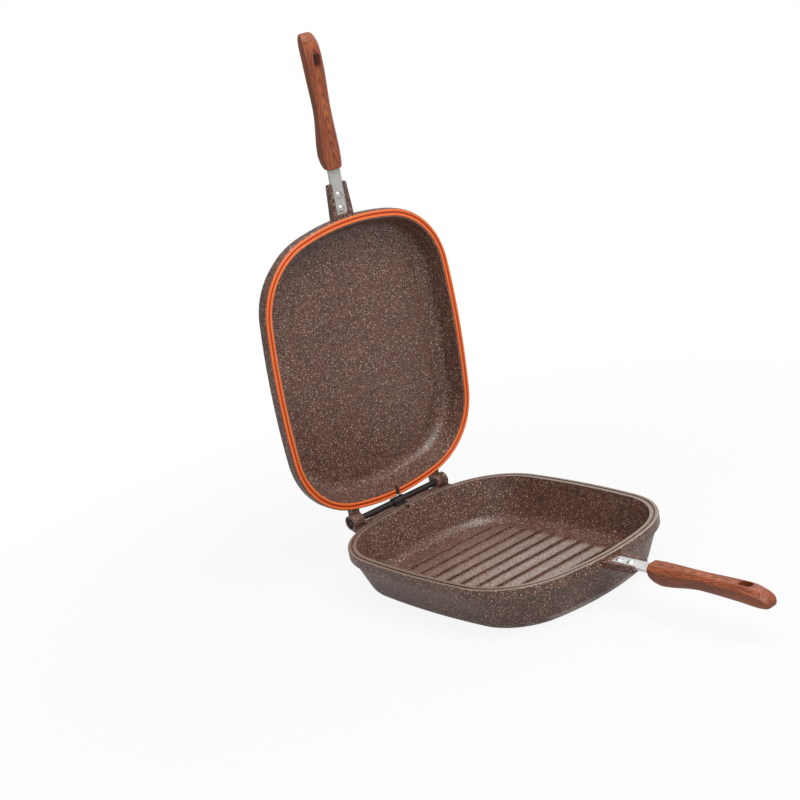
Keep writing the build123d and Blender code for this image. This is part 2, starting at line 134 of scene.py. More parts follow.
def swung_half() -> Half:
    """The upper half as it stands open on its stops."""
    turn_cos, turn_sin = math.cos(OPEN_ANGLE), math.sin(OPEN_ANGLE)
    from_hinge_x = -HINGE_X
    from_hinge_z = RIM_LEVEL + RIM_GAP - HINGE_Z
    origin = Vector(
        (
            HINGE_X + from_hinge_x * turn_cos - from_hinge_z * turn_sin,
            0.0,
            HINGE_Z + from_hinge_x * turn_sin + from_hinge_z * turn_cos,
        )
    )
    return Half(
        "upper",
        "upper_half",
        origin,
        Vector((turn_cos, 0.0, turn_sin)),
        Vector((-turn_sin, 0.0, turn_cos)),
    )


LOWER = Half(
    "lower",
    "lower_half",
    Vector((0.0, 0.0, RIM_LEVEL)),
    Vector((1.0, 0.0, 0.0)),
    Vector((0.0, 0.0, -1.0)),
)
UPPER = swung_half()


class Value:
    """A node socket that Python's operators work on."""

    def __init__(self, nodes: Nodes, socket: bpy.types.NodeSocket) -> None:
        """Keeps the socket and the node tree that it belongs to."""
        self.nodes = nodes
        self.socket = socket

    def maths(self, operation: str, *others: Number) -> Value:
        """Result of a Math node on this value and the others."""
        node = self.nodes.node(
            "ShaderNodeMath", {"operation": operation}, dict(enumerate((self, *others)))
        )
        return self.nodes.out(node)

    def __add__(self, other: Number) -> Value:
        """Sum."""
        return self.maths("ADD", other)

    __radd__ = __add__

    def __mul__(self, other: Number) -> Value:
        """Product."""
        return self.maths("MULTIPLY", other)

    __rmul__ = __mul__

    def __sub__(self, other: Number) -> Value:
        """Difference."""
        return self.maths("SUBTRACT", other)

    def __rsub__(self, other: float) -> Value:
        """Difference from a number."""
        return (self * -1.0) + other

    def __truediv__(self, other: Number) -> Value:
        """Quotient."""
        return self.maths("DIVIDE", other)

    def __pow__(self, other: Number) -> Value:
        """Power."""
        return self.maths("POWER", other)

    def __abs__(self) -> Value:
        """Size without sign."""
        return self.maths("ABSOLUTE")

    def least(self, other: Number) -> Value:
        """The lesser of the two."""
        return self.maths("MINIMUM", other)

    def most(self, other: Number) -> Value:
        """The greater of the two."""
        return self.maths("MAXIMUM", other)

    def sine(self) -> Value:
        """Sine."""
        return self.maths("SINE")

    def fraction(self) -> Value:
        """What is left of the value over the whole number below it."""
        return self.maths("FRACT")

    def step(self, low: float, high: float) -> Value:
        """Smooth step from 0 at low to 1 at high, where low may be the greater."""
        node = self.nodes.node(
            "ShaderNodeMapRange",
            {"interpolation_type": "SMOOTHSTEP"},
            {"Value": self, "From Min": low, "From Max": high},
        )
        return self.nodes.out(node)


Number = Union[Value, float]


class Nodes:
    """A node tree, with one method that adds and feeds any node."""

    def __init__(self, tree: bpy.types.NodeTree) -> None:
        """Keeps the tree and empties it."""
        self.tree = tree
        self.tree.nodes.clear()

    def node(
        self,
        kind: str,
        settings: Optional[dict[str, object]] = None,
        inputs: Optional[dict[object, object]] = None,
    ) -> bpy.types.Node:
        """Adds a node, sets it up and feeds its sockets.

        Args:
            kind: The node's type.
            settings: Its properties.
            inputs: A value, colour or link for each socket, by name or number.

        Returns:
            The new node.
        """
        node = self.tree.nodes.new(kind)
        for key, setting in (settings or {}).items():
            setattr(node, key, setting)
        for key, value in (inputs or {}).items():
            self.plug(node.inputs[key], value)
        return node

    def plug(self, socket: bpy.types.NodeSocket, value: object) -> None:
        """Links a value to a socket, or sets the socket to a number, a vector or a colour."""
        if isinstance(value, Value):
            self.tree.links.new(value.socket, socket)
        elif socket.type == "RGBA":
            socket.default_value = (*value, 1.0)
        else:
            socket.default_value = value

    def out(self, node: bpy.types.Node, name: Union[str, int] = 0) -> Value:
        """One output of a node."""
        return Value(self, node.outputs[name])


class Shader(Nodes):
    """A material's nodes, with the Principled shader that everything feeds."""

    def __init__(self, name: str) -> None:
        """Makes a material that has only a Principled shader."""
        self.material = bpy.data.materials.new(name)
        self.material.use_nodes = True
        super().__init__(self.material.node_tree)
        self.surface = self.node("ShaderNodeBsdfPrincipled")
        self.output = self.node(
            "ShaderNodeOutputMaterial", None, {"Surface": self.out(self.surface)}
        )

    def place(self) -> Value:
        """The place on the object, in metres, in the row frame."""
        return self.out(self.node("ShaderNodeTexCoord"), "Object")

    def turned(self, vector: Value, angles: tuple[float, float, float]) -> Value:
        """A place turned about the origin, so that no flat face lies along a pattern's cells."""
        node = self.node("ShaderNodeMapping", None, {"Vector": vector, "Rotation": angles})
        return self.out(node)

    def dot(self, vector: Value, direction: Vector) -> Value:
        """How far a place lies along a direction."""
        node = self.node(
            "ShaderNodeVectorMath",
            {"operation": "DOT_PRODUCT"},
            {0: vector, 1: tuple(direction)},
        )
        return self.out(node, "Value")

    def reach(self, vector: Value, half: Half, direction: Vector) -> Value:
        """How far a place lies from the centre of a half's rim, along a direction."""
        return self.dot(vector, direction) - half.origin.dot(direction)

    def joined(self, x: Number, y: Number, z: Number) -> Value:
        """A vector of three values."""
        return self.out(self.node("ShaderNodeCombineXYZ", None, {0: x, 1: y, 2: z}))

    def noise(
        self, vector: Value, scale: float, detail: float = 2.0, rough: float = 0.5
    ) -> Value:
        """Noise from 0 to 1."""
        node = self.node(
            "ShaderNodeTexNoise",
            None,
            {"Vector": vector, "Scale": scale, "Detail": detail, "Roughness": rough},
        )
        return self.out(node, "Fac")

    def mix(self, below: object, above: object, share: Number) -> Value:
        """A colour between two others."""
        node = self.node(
            "ShaderNodeMix", {"data_type": "RGBA"}, {0: share, 6: below, 7: above}
        )
        return self.out(node, 2)

    def bump(self, height: Value, strength: float, distance: float) -> None:
        """Feeds the surface's normal with a bump of this height."""
        node = self.node(
            "ShaderNodeBump", None, {"Height": height, "Strength": strength, "Distance": distance}
        )
        self.feed({"Normal": self.out(node)})

    def feed(self, inputs: dict[str, object]) -> None:
        """Sets or links sockets of the Principled shader."""
        for key, value in inputs.items():
            self.plug(self.surface.inputs[key], value)


@dataclass(frozen=True)
class Speckle:
    """One layer of flecks in a coating.

    Attributes:
        cells_per_metre: How close the flecks lie.
        radius: Radius of the largest flecks, in cells.
        share: Share of the cells that hold a fleck.
        colour: Colour of the flecks.
        least_size: Size of the smallest flecks, as a factor.
        more_size: How much larger that factor is for the largest.
        core: Share of a fleck's radius that has its full colour.
        choice_fade: Softness of the choice between cells.
    """

    cells_per_metre: float
    radius: float
    share: float
    colour: Colour
    least_size: float = 0.6
    more_size: float = 0.6
    core: float = 0.6
    choice_fade: float = 0.02

    def mask(self, shader: Shader, place: Value) -> Value:
        """Mask of the layer, from 0 between the flecks to 1 in them."""
        cells = shader.node(
            "ShaderNodeTexVoronoi",
            {"feature": "F1"},
            {"Vector": place, "Scale": self.cells_per_metre, "Randomness": 1.0},
        )
        tint = shader.node("ShaderNodeSeparateColor", None, {0: shader.out(cells, "Color")})
        chosen = shader.out(tint, 0).step(self.share, self.share - self.choice_fade)
        size = shader.out(tint, 1) * self.more_size + self.least_size
        from_middle = shader.out(cells, "Distance") / size
        return from_middle.step(self.radius, self.radius * self.core) * chosen


@dataclass(frozen=True)
class RibbedFloor:
    """Look of the lower floor: bands drawn pale as a painted reflection, and painted shade in soft
    edges along the grooves between them.

    Each span is where a mask starts and where it is full. The depths are below the rim, and the
    lengths along and across are from the middle of the pan.
    """

    # The pale band colour is a painted reflection, and the colour of the grooves is painted shade.
    land_sheen: Colour = from_screen(168, 154, 147)
    groove_shade: Colour = from_screen(64, 44, 36)
    pitch: float = 19.5 * MM
    groove_ends: Span = (84.0 * MM, 74.0 * MM)
    top_depths: Span = (38.5 * MM, 40.5 * MM)
    bottom_depths: Span = (47.8 * MM, 46.8 * MM)
    sheen_from_groove: Span = (1.8 * MM, 5.8 * MM)
    sheen_along: Span = (-125.0 * MM, 10.0 * MM)
    # Where the painted shade at the grooves starts and is full, and how strong it is.
    shade_from_groove: Span = (4.8 * MM, 1.0 * MM)
    shade_along: Span = (-120.0 * MM, -20.0 * MM)
    groove_shade_share: float = 0.28
    grain_scale: float = 620.0
    # The grain, cloud and least shares set how unevenly the painted reflection shows.
    grain_span: Span = (0.36, 0.62)
    grain_share: float = 0.55
    cloud_share: float = 0.4
    least_share: float = 0.02

    def over(
        self, shader: Shader, place: Value, depth: Value, cloud: Value, colour: Value
    ) -> Value:
        """Colour of the coating with the floor's painted reflection and painted shade over it.

        Args:
            shader: The material's shader.
            place: The place, in the row frame.
            depth: How far it lies below the rim.
            cloud: Slow noise that keeps the painted reflection uneven.
            colour: The coating's colour there.

        Returns:
            The new colour.
        """
        along = shader.dot(place, LOWER.along)
        from_groove = abs(((along / self.pitch + 0.5).fraction() - 0.5) * self.pitch)
        inside = abs(shader.dot(place, ACROSS)).step(*self.groove_ends)
        inside = inside * depth.step(*self.top_depths)
        inside = inside * depth.step(*self.bottom_depths)
        # Painted reflection: the bands between the grooves are drawn pale, more towards the handle
        # end and unevenly.
        sheen = from_groove.step(*self.sheen_from_groove) * along.step(*self.sheen_along)
        grain = shader.noise(place, self.grain_scale).step(*self.grain_span)
        sheen_strength = cloud * self.cloud_share + (grain * self.grain_share + self.least_share)
        colour = shader.mix(colour, self.land_sheen, sheen * inside * sheen_strength)
        # Painted shade: the grooves are drawn darker with soft edges, more towards the handle end.
        dark = from_groove.step(*self.shade_from_groove) * along.step(*self.shade_along)
        return shader.mix(colour, self.groove_shade, dark * inside * self.groove_shade_share)


@dataclass(frozen=True)
class StoneCoating:
    """Non-stick coating with dense flecks, and bare metal where the rim is machined, drawn
    brighter towards the handle and on the lower half as a painted reflection.
    """

    ground: Colour = from_screen(88, 57, 46)
    shade: Colour = from_screen(60, 37, 30)
    machined: Colour = from_screen(204, 184, 170)
    flecks: tuple[Speckle, ...] = (
        Speckle(430.0, 0.48, 0.6, from_screen(40, 23, 19)),
        Speckle(660.0, 0.37, 0.8, from_screen(138, 104, 89)),
        Speckle(580.0, 0.3, 0.95, from_screen(180, 148, 132)),
        Speckle(420.0, 0.22, 0.95, from_screen(224, 200, 182)),
    )
    fleck_share: float = 0.9
    fleck_height: float = 0.5
    floor: RibbedFloor = field(default_factory=RibbedFloor)
    cell_turn: tuple[float, float, float] = (0.61, 0.93, 0.37)
    cloud_scale: float = 45.0
    cloud_detail: float = 4.0
    cloud_span: Span = (0.4, 0.66)
    cloud_share: float = 0.4
    mottle_scale: float = 420.0
    mottle_span: Span = (0.46, 0.62)
    mottle_share: float = 0.5
    grain_scale: float = 900.0
    grain_height: float = 0.6
    roughness: float = 0.38
    rough_range: float = 0.12
    relief: float = 0.12 * MM
    relief_strength: float = 0.25
    rim_depths: Span = (0.16 * MM, 0.04 * MM)
    # Painted reflection on the machined rim: where it brightens towards the handle, its least
    # share, and its strength on each half.
    rim_sheen_along: Span = (-150.0 * MM, -10.0 * MM)
    least_rim_sheen: float = 0.3
    bare_share: float = 0.7
    rim_gloss: float = 0.1
    rim_sheen_by_half: dict[str, float] = field(default_factory=lambda: {"lower": 1.0, "upper": 0.25})

    def material(self, half: Half) -> bpy.types.Material:
        """Material of one half.

        Args:
            half: The half, for the level of its machined rim.

        Returns:
            The new material.
        """
        shader = Shader(f"stone_coating_{half.name}")
        place = shader.place()
        depth = shader.reach(place, half, half.depth)
        cells = shader.turned(place, self.cell_turn)
        cloud = shader.noise(cells, self.cloud_scale, self.cloud_detail)
        shaded = cloud.step(*self.cloud_span) * self.cloud_share
        mottle = shader.noise(cells, self.mottle_scale).step(*self.mottle_span)
        colour = shader.mix(self.ground, self.shade, shaded)
        colour = shader.mix(colour, self.shade, mottle * self.mottle_share)
        height: Number = 0.0
        for layer in self.flecks:
            mask = layer.mask(shader, cells)
            colour = shader.mix(colour, layer.colour, mask * self.fleck_share)
            height = mask * self.fleck_height + height
        if half is LOWER:
            # The lower floor gets a painted reflection on its bands and painted shade at its
            # grooves.
            colour = self.floor.over(shader, place, depth, cloud, colour)
        # Machined rim, with a painted reflection that makes it brighter towards the handle and on
        # the lower half.
        rim = abs(depth).step(*self.rim_depths) * self.rim_sheen(shader, place, half)
        grain = shader.noise(cells, self.grain_scale)
        rough = grain * self.rough_range + (self.roughness - self.rough_range / 2)
        shader.feed(
            {
                "Base Color": shader.mix(colour, self.machined, rim * self.bare_share),
                "Roughness": rough - rim * self.rim_gloss,
                "Metallic": rim * self.bare_share,
                "Specular IOR Level": 0.5,
            }
        )
        height = grain * self.grain_height + height * (1.0 - rim)
        shader.bump(height, self.relief_strength, self.relief)
        return shader.material

    def rim_sheen(self, shader: Shader, place: Value, half: Half) -> Value:
        """Painted reflection on the machined rim: how bright it is drawn, growing towards the
        handle and smaller on the upper half.
        """
        towards_handle = shader.reach(place, half, half.along).step(*self.rim_sheen_along)
        grown = towards_handle * (1.0 - self.least_rim_sheen) + self.least_rim_sheen
        return grown * self.rim_sheen_by_half[half.name]


@dataclass(frozen=True)
class Silicone:
    """Matt moulded silicone of the seal, with painted shade between its ridges."""

    ridge: Colour = from_screen(220, 108, 46)
    valley_shade: Colour = from_screen(182, 56, 12)
    valley_shade_depths: Span = (-1.0 * MM, -0.2 * MM)
    valley_shade_share: float = 0.85
    cloud_scale: float = 60.0
    cloud_share: float = 0.12
    grain_scale: float = 1400.0
    roughness: float = 0.4
    rough_range: float = 0.1
    relief: float = 0.05 * MM
    relief_strength: float = 0.1

    def material(self, half: Half) -> bpy.types.Material:
        """Material of the seal on one half."""
        shader = Shader("silicone")
        place = shader.place()
        # Painted shade: the seal is drawn darker where it sinks between its ridges.
        low = shader.reach(place, half, half.depth).step(*self.valley_shade_depths)
        cloud = shader.noise(place, self.cloud_scale)
        share = low * self.valley_shade_share + cloud * self.cloud_share
        grain = shader.noise(place, self.grain_scale)
        shader.feed(
            {
                "Base Color": shader.mix(self.ridge, self.valley_shade, share),
                "Roughness": grain * self.rough_range + self.roughness,
            }
        )
        shader.bump(grain, self.relief_strength, self.relief)
        return shader.material


@dataclass(frozen=True)
class WoodPrint:
    """Moulded grip with a printed wood figure whose arches run along the handle, and painted shade
    on its sides below the mating face.
    """

    light: Colour = from_screen(158, 84, 50)
    middle: Colour = from_screen(126, 62, 36)
    dark: Colour = from_screen(54, 24, 14)
    lines_along: float = 80.0
    lines_down: float = 600.0
    arch: float = 58000.0
    arch_reach: float = 6.5 * MM
    heart_aside: float = 1.0 * MM
    # Below the mating face the print's lines bend down and the sides carry painted shade.
    side_start: float = 1.5 * MM
    side_shade_fade: float = 1.5 * MM
    side_shade_share: float = 0.14
    wander_stretch: float = 0.3
    wander_scale: float = 70.0
    wander: float = 1.3
    line_sharpness: float = 2.2
    line_share: float = 0.72
    break_scale: float = 240.0
    break_range: float = 0.9
    break_least: float = 0.35
    fibre_stretch: float = 0.04
    fibre_scale: float = 1700.0
    fibre_detail: float = 3.0
    fibre_rough: float = 0.65
    fibre_span: Span = (0.46, 0.72)
    fibre_share: float = 0.55
    broad_stretch: float = 0.12
    broad_scale: float = 150.0
    broad_span: Span = (0.4, 0.6)
    broad_share: float = 0.75
    roughness: float = 0.36
    rough_range: float = 0.14
    relief: float = 0.1 * MM
    relief_strength: float = 0.14

    def material(self, half: Half) -> bpy.types.Material:
        """Material of one half's grip."""
        shader = Shader(f"wood_print_{half.name}")
        place = shader.place()
        along = shader.reach(place, half, half.along)
        across = shader.dot(place, ACROSS)
        depth = shader.reach(place, half, half.depth)

        def stretched(share: float) -> Value:
            """The place with its length drawn together, which draws a noise out along it."""
            return shader.joined(along * share, across, depth)

        wander = shader.noise(stretched(self.wander_stretch), self.wander_scale)
        arches = abs(across + self.heart_aside).least(self.arch_reach) ** 2.0 * self.arch
        down = (depth - self.side_start).most(0.0) * self.lines_down
        count = along * self.lines_along + arches - down + wander * self.wander
        wave = (count * math.tau).sine() * 0.5 + 0.5
        broken = shader.noise(place, self.break_scale) * self.break_range + self.break_least
        line = wave**self.line_sharpness * broken
        fibre = shader.noise(
            stretched(self.fibre_stretch), self.fibre_scale, self.fibre_detail, self.fibre_rough
        )
        broad = shader.noise(stretched(self.broad_stretch), self.broad_scale)
        # Painted shade: the sides and belly below the mating face are drawn darker.
        side = depth.step(self.side_start, self.side_start + self.side_shade_fade)
        browned = broad.step(*self.broad_span) * self.broad_share
        colour = shader.mix(self.light, self.middle, browned)
        colour = shader.mix(colour, self.dark, line * self.line_share)
        colour = shader.mix(colour, self.dark, fibre.step(*self.fibre_span) * self.fibre_share)
        colour = shader.mix(colour, self.dark, side * self.side_shade_share)
        shader.feed(
            {
                "Base Color": colour,
                "Roughness": fibre * self.rough_range + self.roughness,
                "Specular IOR Level": 0.35,
                "Coat Weight": 0.05,
                "Coat Roughness": 0.3,
            }
        )
        shader.bump(line * 0.5 + fibre * 0.5, self.relief_strength, self.relief)
        return shader.material


class Metal(Enum):
    """The bare and coated metals of the hinge and the handles."""

    LOWER_TANG = "lower_tang"
    UPPER_TANG = "upper_tang"
    RIVET = "rivet"
    ROD = "rod"
    SCREW = "screw"


@dataclass(frozen=True)
class MetalFinish:
    """Colour, gloss and grain of a metal.

    Attributes:
        colour: Colour of the metal.
        metallic: Share that is bare metal.
        roughness: Middle of its roughness.
        grain: How much the roughness varies.
        brush: Factor on each direction of the grain, small along the brushing.
        line_scale: How fine the grain is.
        line_detail: How many finer layers the grain has.
        line_rough: How strong those layers are.
        cloud_scale: How close the darker patches lie.
        cloud_detail: How many finer layers they have.
        cloud_span: Noise at which they start and are full.
        cloud_tone: Brightness of the darker patches.
        relief: Height of the grain.
        relief_strength: How strongly it shows.
    """

    colour: Colour
    metallic: float
    roughness: float
    grain: float
    brush: tuple[float, float, float] = (1.0, 1.0, 1.0)
    line_scale: float = 1800.0
    line_detail: float = 3.0
    line_rough: float = 0.6
    cloud_scale: float = 120.0
    cloud_detail: float = 3.0
    cloud_span: Span = (0.45, 0.7)
    cloud_tone: float = 0.8
    relief: float = 0.05 * MM
    relief_strength: float = 0.08

    def material(self, name: str) -> bpy.types.Material:
        """Material of this finish."""
        shader = Shader(name)
        place = shader.place()
        brushed = shader.node(
            "ShaderNodeVectorMath", {"operation": "MULTIPLY"}, {0: place, 1: self.brush}
        )
        lines = shader.noise(
            shader.out(brushed), self.line_scale, self.line_detail, self.line_rough
        )
        cloud = shader.noise(place, self.cloud_scale, self.cloud_detail)
        darker = tuple(channel * self.cloud_tone for channel in self.colour)
        shader.feed(
            {
                "Base Color": shader.mix(self.colour, darker, cloud.step(*self.cloud_span)),
                "Metallic": self.metallic,
                "Roughness": lines * self.grain + (self.roughness - self.grain / 2),
            }
        )
        shader.bump(lines, self.relief_strength, self.relief)
        return shader.material


# The two tangs are one steel: the lower gets a lighter colour and the upper a darker one, as
# painted light and painted shade.
FINISHES: dict[Metal, MetalFinish] = {
    Metal.LOWER_TANG: MetalFinish(
        from_screen(224, 225, 223),
        metallic=0.65,
        roughness=0.4,
        grain=0.14,
        brush=(0.06, 1.0, 1.0),
    ),
    Metal.UPPER_TANG: MetalFinish(
        from_screen(188, 186, 181),
        metallic=0.65,
        roughness=0.44,
        grain=0.14,
        brush=(1.0, 1.0, 0.06),
    ),
    Metal.RIVET: MetalFinish(from_screen(206, 207, 206), metallic=0.9, roughness=0.26, grain=0.08),
    Metal.ROD: MetalFinish(
        from_screen(30, 22, 20), metallic=0.1, roughness=0.46, grain=0.12, brush=(1.0, 0.1, 1.0)
    ),
    Metal.SCREW: MetalFinish(from_screen(196, 196, 198), metallic=0.9, roughness=0.3, grain=0.1),
}


def dress(node: str, material: bpy.types.Material) -> None:
    """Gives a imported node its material."""
    obj = frame["nodes"][node]
    obj.data.materials.clear()
    obj.data.materials.append(material)
    log.info("%s: %s", node, material.name)


def edit_mode(obj: bpy.types.Object) -> None:
    """Selects one object alone and opens it for editing."""
    bpy.ops.object.select_all(action="DESELECT")
    bpy.context.view_layer.objects.active = obj
    obj.select_set(True)
    bpy.ops.object.mode_set(mode="EDIT")


def edited_cube(name: str) -> bpy.types.Object:
    """Adds a cube with a side of 1 about the origin, and opens it for editing."""
    bpy.ops.mesh.primitive_cube_add(size=1.0, location=(0.0, 0.0, 0.0))
    cube = bpy.context.object
    cube.name = name
    cube.data.name = name
    edit_mode(cube)
    return cube


def finish_edit(smooth_degrees: float) -> None:
    """Closes the edit mode and shades edges flatter than an angle smooth."""
    bpy.ops.object.mode_set(mode="OBJECT")
    bpy.ops.object.shade_smooth_by_angle(angle=math.radians(smooth_degrees))


def pick_vertices(obj: bpy.types.Object, wanted: Callable[[Vector], bool]) -> None:
    """Selects the vertices whose place is wanted, with the edges and faces between them."""
    mesh = bmesh.from_edit_mesh(obj.data)
    bpy.ops.mesh.select_mode(type="VERT")
    for vertex in mesh.verts:
        vertex.select_set(wanted(vertex.co))
    mesh.select_flush_mode()
    bmesh.update_edit_mesh(obj.data)


def pick_edges(obj: bpy.types.Object, wanted: Callable[[Vector, Vector], bool]) -> None:
    """Selects the edges whose two ends are wanted."""
    bpy.ops.mesh.select_mode(type="EDGE")
    mesh = bmesh.from_edit_mesh(obj.data)
    for part in (*mesh.faces, *mesh.edges):
        part.select_set(False)
    for edge in mesh.edges:
        if wanted(edge.verts[0].co, edge.verts[1].co):
            edge.select_set(True)
    bmesh.update_edit_mesh(obj.data)


@dataclass
class Shells:
    """The two coated halves."""

    coating: StoneCoating = field(default_factory=StoneCoating)

    def build(self) -> None:
        """Dresses both halves."""
        for half in (LOWER, UPPER):
            dress(f"{half.name}_pan", self.coating.material(half))


@dataclass
class Seal:
    """The silicone seal in the upper rim."""

    silicone: Silicone = field(default_factory=Silicone)

    def build(self) -> None:
        """Dresses the seal."""
        dress("gasket", self.silicone.material(UPPER))


@dataclass
class Hinge:
    """The rod, its rings and its clip, and the bead of the ledge that the rod lies along."""

    coating: StoneCoating = field(default_factory=StoneCoating)
    bead_place: float = -149.3 * MM
    bead_width: float = 3.0 * MM
    bead_levels: Span = (48.0 * MM, 50.3 * MM)
    bead_ends: Span = (9.0 * MM, 40.0 * MM)
    bead_round: float = 1.1 * MM
    bead_segments: int = 4
    smooth_degrees: float = 35.0

    def bead(self, side: float) -> bpy.types.Object:
        """Models the bead on one side of the clip.

        Args:
            side: 1 for the far side, -1 for the near one.

        Returns:
            The bead, closed and rounded on top.
        """
        start, end = self.bead_ends
        bottom, top = self.bead_levels
        bead = edited_cube(f"ledge_bead_{'far' if side > 0 else 'near'}")
        bpy.ops.mesh.select_all(action="SELECT")
        bpy.ops.transform.resize(
            value=(self.bead_width, end - start, top - bottom), center_override=(0.0, 0.0, 0.0)
        )
        bpy.ops.transform.translate(
            value=(self.bead_place, side * (start + end) / 2, (bottom + top) / 2)
        )
        pick_edges(bead, lambda one, other: one.z + other.z > 2 * top - TOUCHING)
        bpy.ops.mesh.bevel(
            offset=self.bead_round, segments=self.bead_segments, affect="EDGES"
        )
        finish_edit(self.smooth_degrees)
        return bead

    def build(self) -> None:
        """Dresses the hinge and adds the beads."""
        black = FINISHES[Metal.ROD].material("blackened_steel")
        for node in ("hinge_rod", "rod_rings", "rod_clip"):
            dress(node, black)
        coating = self.coating.material(LOWER)
        for side in (-1.0, 1.0):
            bead = self.bead(side)
            bead.data.materials.append(coating)
            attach(bead, LOWER.body)


def eased(points: Sequence[tuple[float, float]], at: float) -> float:
    """Smooth curve through points, without overshoot.

    Args:
        points: Pairs of place and value, in rising order of place.
        at: The place to read.

    Returns:
        The value there.
    """
    slopes = [
        (after[1] - before[1]) / (after[0] - before[0])
        for before, after in zip(points, points[1:])
    ]
    turns = [slopes[0]]
    for left, right in zip(slopes, slopes[1:]):
        turns.append(0.0 if left * right <= 0 else 2 * left * right / (left + right))
    turns.append(slopes[-1])
    index = 0
    while index < len(slopes) - 1 and at > points[index + 1][0]:
        index += 1
    (start, low), (end, high) = points[index], points[index + 1]
    share = min(max((at - start) / (end - start), 0.0), 1.0)
    square, cube = share**2, share**3
    return (
        (2 * cube - 3 * square + 1) * low
        + (cube - 2 * square + share) * (end - start) * turns[index]
        + (3 * square - 2 * cube) * high
        + (cube - square) * (end - start) * turns[index + 1]
    )


@dataclass(frozen=True)
class Station:
    """A section of the grip.

    Attributes:
        along: How far it lies from the centre of the rim.
        top: Level of the mating face, which turns down towards the tip.
        belly: Level of the opposite side.
        half_width: Half its width.
    """

    along: float
    top: float
    belly: float
    half_width: float

    def place(self, at: float, half_width: float, levels: Span) -> None:
        """Scales and moves the selected section to this station.

        Args:
            at: Where the section lies along the grip now.
            half_width: Its present half width.
            levels: Its present levels, mating face first.
        """
        top, belly = levels
        wider = self.half_width / half_width
        deeper = (self.belly - self.top) / (belly - top)
        bpy.ops.transform.resize(value=(1.0, wider, deeper), center_override=(at, 0.0, top))
        bpy.ops.transform.translate(value=(self.along - at, 0.0, self.top - top))


